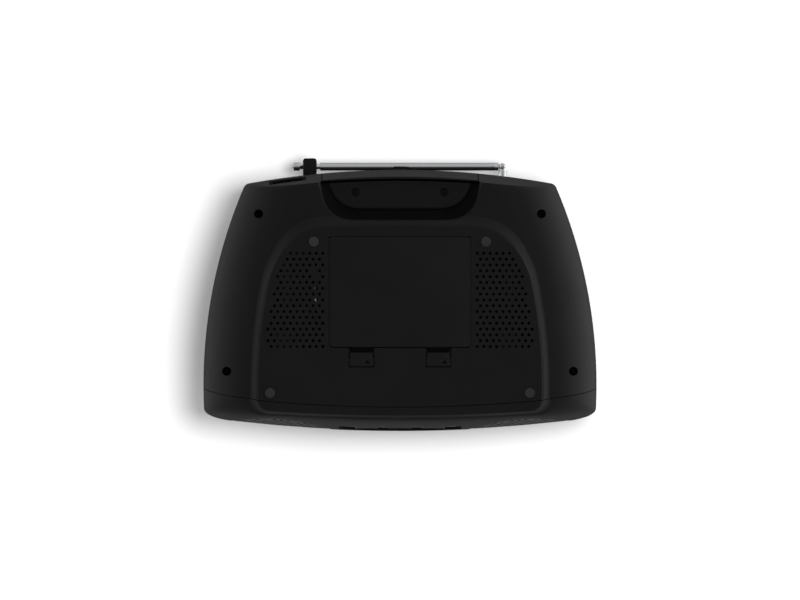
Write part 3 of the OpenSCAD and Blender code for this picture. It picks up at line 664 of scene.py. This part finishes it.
def build_bottom():
    """The lower shell: foot plate, battery well, finger recess, screw posts and all its holes."""
    core = combine(
        copy_of(shell_form),
        ("-", seam_zone(GAP), box((-160, 160), (-110, 110), (SPLIT_Z - GAP, 130)),
         behind(60.8, 0, 0, SPLIT_Z + 1), copy_of(hollow)))
    posts = joined([rod(x, y, 9, SPLIT_Z - GAP, 5.4) for x, y in spots(CASE_SCREWS)]
                   + [rod(x, y, BASE_Z, 26, 3) for x in (68, 98) for y in (40, 62)])
    combine(posts, ("&", copy_of(shell_form)))
    well = box((-57.5, 57.5), (-44.5, 48.4), (BASE_Z + 1, 37))
    combine(core, ("+", posts, well))
    for s in SIDES:
        combine(core, ("+", across(s * LATCH_X, 11.85, (-58.5, -42.5), (4, 11)),
                       across(s * TONGUE_X, 8, (46.4, 52), (4, 12.5)),
                       rod(s * 48, -38, 36, 42, 3.2), rod(s * 48, 42, 36, 42, 3.2)))
    shelf = combine(box((71, 103), (72, 92), (17, 19.5)), ("&", copy_of(shell_form)))
    tray = combine(grip_bowl(WALL), ("&", copy_of(shell_form)), ("-", behind(80, 0, 0, 60)))
    combine(core, ("+", shelf, tray,
                   *(rod(x, y, GRIP_Z, 36, 5) for x, y in spots([GRIP_SCREW]))))
    combine(core, ("-", copy_of(bowl), box((-55.5, 55.5), (-42.5, 46.4), (BASE_Z + WALL, 35)),
                   prism(door_outline(0.25, -41.1, 0.75), 0, BASE_Z + WALL + 1)))
    for s in SIDES:
        combine(core, ("-", across(s * LATCH_X, 9.85, (-56.5, -41.5), (0, 9)),
                       across(s * TONGUE_X, 6.4, (45.4, 50), (BASE_Z + WALL, 10.6))))
    floor_line = combine(prism(grown(grip_outline(False), 0.1), 29, 31.3),
                         ("-", prism(grown(grip_outline(False), -0.9), 28, 32),
                          behind(80, -3, 28, 32)))
    cuts = [floor_line]
    for x, y in spots([GRIP_SCREW]):
        cuts += [rod(x, y, 29, 31, 3.25), rod(x, y, 30, 37, 1.9)]
    for x, y in spots(CASE_SCREWS):
        cuts += [rod(x, y, 0, 47, 3.5), rod(x, y, 46, 56, 1.9)]
    for x, y in spots(FEET):
        cuts.append(rod(x, y, 2, 4.5, 4.0))
    cuts += [vents(), box((72.8, 101.2), (70, 110), (19.5, 33.5))]
    combine(core, ("-", *cuts))
    return core


def speaker_rod(side, z0, z1, r, n=96):
    """A cylinder on a speaker's axis, from z0 to z1 behind the face of the cabinet."""
    turn = side * math.atan(SPEAKER_X / SPEAKER_BOW)
    inward = np.array([-math.sin(turn), math.cos(turn), 0])
    left = np.array([-math.cos(turn), -math.sin(turn), 0])
    up = np.array([0, 0, 1.0])
    p = circle(0, 0, r, n)
    start = np.array([side * SPEAKER_X, front_y(SPEAKER_X, 0.9), SPEAKER_Z])
    return skin("speaker_rod", [start + inward * z + left * p[:, :1] + up * p[:, 1:]
                                for z in (z0, z1)])


def build_front():
    """The front shell, with a pocket for each speaker grille and two for the panel."""
    core = combine(copy_of(shell_form), ("&", seam_zone(-GAP)), ("-", copy_of(hollow)))
    pocket_back = form(1.6)
    for s in SIDES:
        combine(core, ("+", combine(speaker_rod(s, -6, 8, 43.5), ("&", copy_of(outer)))))
        pocket = combine(speaker_rod(s, -5, 7, 40.4), ("-", copy_of(pocket_back)))
        combine(core, ("-", pocket, speaker_rod(s, -1, 20, 35)))
    drop(pocket_back)
    for z, h in ((76, 28), (37, 26)):
        combine(core, ("-", front_plate(0, z, 94.8, h + 0.8, -112, -95, 4.4)))
    return core


def build_top():
    """The upper shell: the lip behind the finger recess, the disc well, wells for the controls."""
    back = combine(copy_of(shell_form), ("-", seam_zone(GAP)))
    lip_zone = behind(60.2, 1.5, 14, 60)
    lip = combine(copy_of(outer), ("&", copy_of(lip_zone)), ("-", behind(57.7, 4.0, 16.5, 61)))
    below = combine(box((-160, 160), (-112, 112), (-5, SPLIT_Z + GAP)), ("-", copy_of(lip_zone)))
    core = combine(back, ("-", below, copy_of(hollow)))
    drop(lip_zone)
    inside = form(1)
    well = rod(0, DISC_Y, 101.5, 125, 69, 96)
    blocks = [box((-36, 36), (60, 83), (109, 125)), rod_along("y", MAST_X, MAST_Z, 80, 110, 6)]
    for s in SIDES:
        knob_x, knob_y = s * KNOB[0], KNOB[1]
        blocks += [rod(s * GRIP_SCREW[0], GRIP_SCREW[1], 36.3, 108.5, 4),
                   rod(knob_x, knob_y, 113.5, 125, 19, 64),
                   across(knob_x, 9, (-10, 26), (115.5, 125))]
        blocks += [rod(s * x, y, SPLIT_Z + 0.3, 125, 4.5) for x, y in CASE_SCREWS]
    combine(well, ("+", *blocks), ("&", inside))
    combine(core, ("+", lip, well))
    cuts = [rod(0, DISC_Y, 104, 130, 66.6, 96), rod(0, DISC_Y, 119.3, 120.4, 66.2, 96, 67.5),
            box((-17, 69), (-13.5, 23.5), (90, 105)), box((-31, 31), (60, 80.6), (111.5, 130)),
            rod_along("y", MAST_X, MAST_Z, 79, 110, 3.42)]
    for s in SIDES:
        knob_x, knob_y = s * KNOB[0], KNOB[1]
        cuts += [rod_along("x", 75, 116.5, s * 33 - 2.2, s * 33 + 2.2, 1.55, 24),
                 rod(s * GRIP_SCREW[0], GRIP_SCREW[1], 36, 56, 1.55, 24),
                 rod(knob_x, knob_y, 116, 130, 16, 64),
                 rod(knob_x, knob_y, 119.3, 120.4, 15.6, 64, 16.9),
                 rod(knob_x, knob_y, 110, 117, 4),
                 across(knob_x, 6, (-8, 22), (118, 130)),
                 across(knob_x, 2.2, (-5, 19.5), (110, 120))]
        cuts += [rod(s * x, y, 50, 70, 1.55, 24) for x, y in CASE_SCREWS]
    button = rounded(26.8, 7.6, 3) + [0, -67.8]
    cuts.append(prism(button, 105, 125))
    combine(core, ("-", *cuts))
    return core


def show(obj, name, node, look, body="cabinet", normals=None, angle=32):
    """Makes the solid a visible piece that stands for a CAD node and rides on a body."""
    obj.name = name
    dress(obj, M[look], normals, angle)
    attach(obj, body)
    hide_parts(node)
    return obj


show(build_bottom(), "bottom_shell", "bottom_cabinet", "cabinet",
     normals=reference)
show(build_front(), "front_shell", "front_cabinet", "cabinet",
     normals=reference)
show(build_top(), "top_shell", "top_cabinet", "cabinet", normals=reference)


def build_door():
    """The battery door, a plate with two tongues that hook under the cabinet's edge."""
    plate = bevelled(prism(door_outline(0, -40.7, 2.4), BASE_Z, BASE_Z + 2.2), 0.4, 3)
    tongues = []
    for s in SIDES:
        tongues += [across(s * TONGUE_X, 6, (38.5, 42.5), (BASE_Z + 2.1, BASE_Z + 4.2)),
                    across(s * TONGUE_X, 6, (40.5, 48.5), (5.9, BASE_Z + 4.2))]
    return combine(plate, ("+", *tongues))


def build_latch(s):
    """A push tab with a raised thumb pad and rounded corners."""
    x = s * LATCH_X
    tab = prism(rounded(18.6, 12.9, 1.6) + [x, LATCH_Y], 3.2, 5.2)
    combine(tab, ("-", across(x, 10, (-44.9, -40), (3, 6)),
                  box((x - 10, x - 8.7), (-48.9, -40), (3, 6)),
                  box((x + 8.7, x + 10), (-48.9, -40), (3, 6))))
    pad = rounded(15.4, 4.2, 0.9) + [x, -47.3]
    combine(tab, ("+", prism(pad, 2.75, 3.5)))
    return bevelled(tab, 0.22)


def build_hook(s):
    """The hook behind a latch tab, under the edge of the battery well."""
    x = s * LATCH_X
    return combine(across(x, 8.1, (-48.5, -45), (5.1, 7.4)),
                   ("+", across(x, 8.1, (-45.1, -37), (6.0, 7.4))))


def build_arrow(s):
    """The moulded arrow on the tab, which shows which way to push it."""
    x = s * LATCH_X - 4.6
    return prism([(x - 2.4, -53.4), (x + 2.4, -53.4), (x, -50.7)], 3.12, 3.4)


def build_screw(x, y, seat, length):
    """A pan head screw whose cross recess faces down."""
    rings = [(-2.2, 1.7), (-2.15, 2.2), (-1.95, 2.6), (-1.6, 2.88), (-1.1, 3.0), (0, 3.0)]
    head = loft([flat(circle(x, y, r, 48), seat + z) for z, r in rings])
    shank = rod(x, y, seat - 0.1, seat + length, 1.5, 32)
    cross = [box((x - 1.9, x + 1.9), (y - 0.5, y + 0.5), (seat - 3, seat - 0.6)),
             box((x - 0.5, x + 0.5), (y - 1.9, y + 1.9), (seat - 3, seat - 0.6)),
             rod(x, y, seat - 2.4, seat - 0.4, 1.5, 32, 0.4)]
    return combine(head, ("+", shank), ("-", *cross))


def build_clip():
    """The two brackets on the back that hold the stowed antenna."""
    big = rounded(10.7, 26, 2.2) + [70.05, 92.8]
    small = rounded(10.4, 14, 1.2) + [0, 92.5]
    parts = [bevelled(prism(big, 87, MAST_Z - 3.4), 0.6, 3),
             bevelled(prism(small, 88, MAST_Z - 3.4), 0.5, 3)]
    return combine(joined(parts), ("-", copy_of(outer)))


show(build_door(), "door_plate", "battery_door", "cabinet", "door", angle=30)
for s, side in ((-1, "left"), (1, "right")):
    show(build_latch(s), "latch_tab_" + side, "door_latch_" + side, "cabinet",
         "latch_" + side, angle=30)
    # The hook is the tab's own black plastic; the recess look on it is painted shade, as if it lay
    # deeper in shadow.
    show(build_hook(s), "latch_hook_" + side, "door_latch_" + side, "recess",
         "latch_" + side, angle=30)
    # The arrow is moulded in the tab's own plastic; the recess look on it is painted shade that
    # makes it darker than the tab.
    show(build_arrow(s), "latch_arrow_" + side, "door_latch_" + side, "recess",
         "latch_" + side, angle=30)
heads = [build_screw(x, y, 47, 20) for x, y in spots(CASE_SCREWS)]
heads += [build_screw(x, y, 31, 22) for x, y in spots([GRIP_SCREW])]
show(joined(heads), "screw_set", "case_screws", "screw", angle=30)
show(build_clip(), "clip_pair", "antenna_clip", "cabinet", angle=30)

# ---------------------------------------------------------------- stage, lights, camera

scene = bpy.context.scene
scene.view_settings.view_transform = "Standard"


def one_sided(name, shade, glow):
    """Pale card that shows only from its front, so it never hides the object."""
    mat = bpy.data.materials.new(name)
    mat.use_nodes = True
    t = mat.node_tree
    t.nodes.clear()
    out = t.nodes.new("ShaderNodeOutputMaterial")
    mix = t.nodes.new("ShaderNodeMixShader")
    geo = t.nodes.new("ShaderNodeNewGeometry")
    diffuse = t.nodes.new("ShaderNodeBsdfDiffuse")
    emit = t.nodes.new("ShaderNodeEmission")
    add = t.nodes.new("ShaderNodeAddShader")
    through = t.nodes.new("ShaderNodeBsdfTransparent")
    diffuse.inputs["Color"].default_value = (shade, shade, shade, 1)
    emit.inputs["Strength"].default_value = glow
    t.links.new(diffuse.outputs[0], add.inputs[0])
    t.links.new(emit.outputs[0], add.inputs[1])
    t.links.new(geo.outputs["Backfacing"], mix.inputs[0])
    t.links.new(add.outputs[0], mix.inputs[1])
    t.links.new(through.outputs[0], mix.inputs[2])
    t.links.new(mix.outputs[0], out.inputs["Surface"])
    return mat


def card(name, half, z, up, mat):
    s = 1 if up else -1
    pts = [(-half, -half * s, z), (half, -half * s, z), (half, half * s, z), (-half, half * s, z)]
    o = mesh_object(name, pts, [[0, 1, 2, 3]])
    o.data.materials.append(mat)
    o.visible_shadow = o.visible_diffuse = o.visible_glossy = o.visible_transmission = False
    return o


card("floor", 30000, 0, True, one_sided("floor_pale", 0.85, 0.12))
card("backdrop", 2500, 128, False, one_sided("backdrop_pale", 0.8, 0.12))

world = bpy.data.worlds.new("studio")
scene.world = world
world.use_nodes = True
wt = world.node_tree
background = wt.nodes["Background"]
seen = wt.nodes.new("ShaderNodeBackground")
seen.inputs["Color"].default_value = (1, 1, 1, 1)
seen.inputs["Strength"].default_value = 1.0
background.inputs["Color"].default_value = (1, 1, 1, 1)


def studio_strength(tree):
    """Soft light: strongest from the sides, above all -x, weaker front and rear, dark overhead."""
    way = tree.nodes.new("ShaderNodeTexCoord").outputs["Generated"]
    parts = tree.nodes.new("ShaderNodeSeparateXYZ")
    tree.links.new(way, parts.inputs[0])

    def maths(operation, *values):
        node = tree.nodes.new("ShaderNodeMath")
        node.operation = operation
        for socket, value in zip(node.inputs, values):
            if isinstance(value, (int, float)):
                socket.default_value = value
            else:
                tree.links.new(value, socket)
        return node.outputs[0]

    x, y, z = parts.outputs
    level = maths("SUBTRACT", 1.0, maths("MULTIPLY", z, z))
    depth = maths("MINIMUM", maths("MULTIPLY", y, 0.72), maths("MULTIPLY", y, -0.75))
    lean = maths("ADD", maths("MULTIPLY_ADD", x, -0.22, 1.0), depth)
    fade = maths("MULTIPLY_ADD", maths("MAXIMUM", z, 0.0), -0.2, 0.22)
    return maths("MULTIPLY_ADD", maths("MULTIPLY", level, lean), 0.92, fade)


wt.links.new(studio_strength(wt), background.inputs["Strength"])
path = wt.nodes.new("ShaderNodeLightPath")
pick = wt.nodes.new("ShaderNodeMixShader")
wt.links.new(path.outputs["Is Camera Ray"], pick.inputs[0])
wt.links.new(background.outputs[0], pick.inputs[1])
wt.links.new(seen.outputs[0], pick.inputs[2])
wt.links.new(pick.outputs[0], wt.nodes["World Output"].inputs["Surface"])


def lamp(name, at, power, size, to=(0, 0, 50)):
    """A round soft lamp that no gloss mirrors, so steep walls don't blow out."""
    data = bpy.data.lights.new(name, "AREA")
    data.shape, data.size, data.energy = "DISK", size, power
    o = bpy.data.objects.new(name, data)
    scene.collection.objects.link(o)
    o.location = Vector(at) * MM
    o.rotation_euler = (Vector(to) * MM - o.location).to_track_quat("-Z", "Y").to_euler()
    o.visible_camera = o.visible_glossy = False


# Each lamp's name, place in millimetres, watts, and diameter in metres.
for settings in (("key_below", (-380, 90, -2280), 52, 0.8),
                 ("overhead", (-250, -350, 2700), 300, 1.4),
                 ("front_fill", (500, -2300, 900), 130, 1.2),
                 ("rear_fill", (-400, 2300, 900), 100, 1.2),
                 ("left_fill", (2300, 200, 800), 45, 1.2),
                 ("right_fill", (-2300, 200, 800), 45, 1.2)):
    lamp(*settings)

# The camera looks straight up from below, from so far that the view is almost parallel. SCALE is
# millimetres for each pixel of an 800 wide picture, at the height PLANE.
LENS, SENSOR, WIDTH = 900, 36, 800
SCALE, PLANE, AIM_Y = 0.774, 30, -4.3
camera = bpy.data.cameras.new("camera")
camera.lens, camera.sensor_width = LENS, SENSOR
camera.clip_end = 100
eye = bpy.data.objects.new("camera", camera)
scene.collection.objects.link(eye)
distance = WIDTH * SCALE / SENSOR * LENS
eye.location = Vector((0, AIM_Y, PLANE - distance)) * MM
eye.rotation_euler = (0, math.pi, 0)
scene.camera = eye

for o in (outer, inner, base, bowl, shell_form, hollow):
    drop(o)
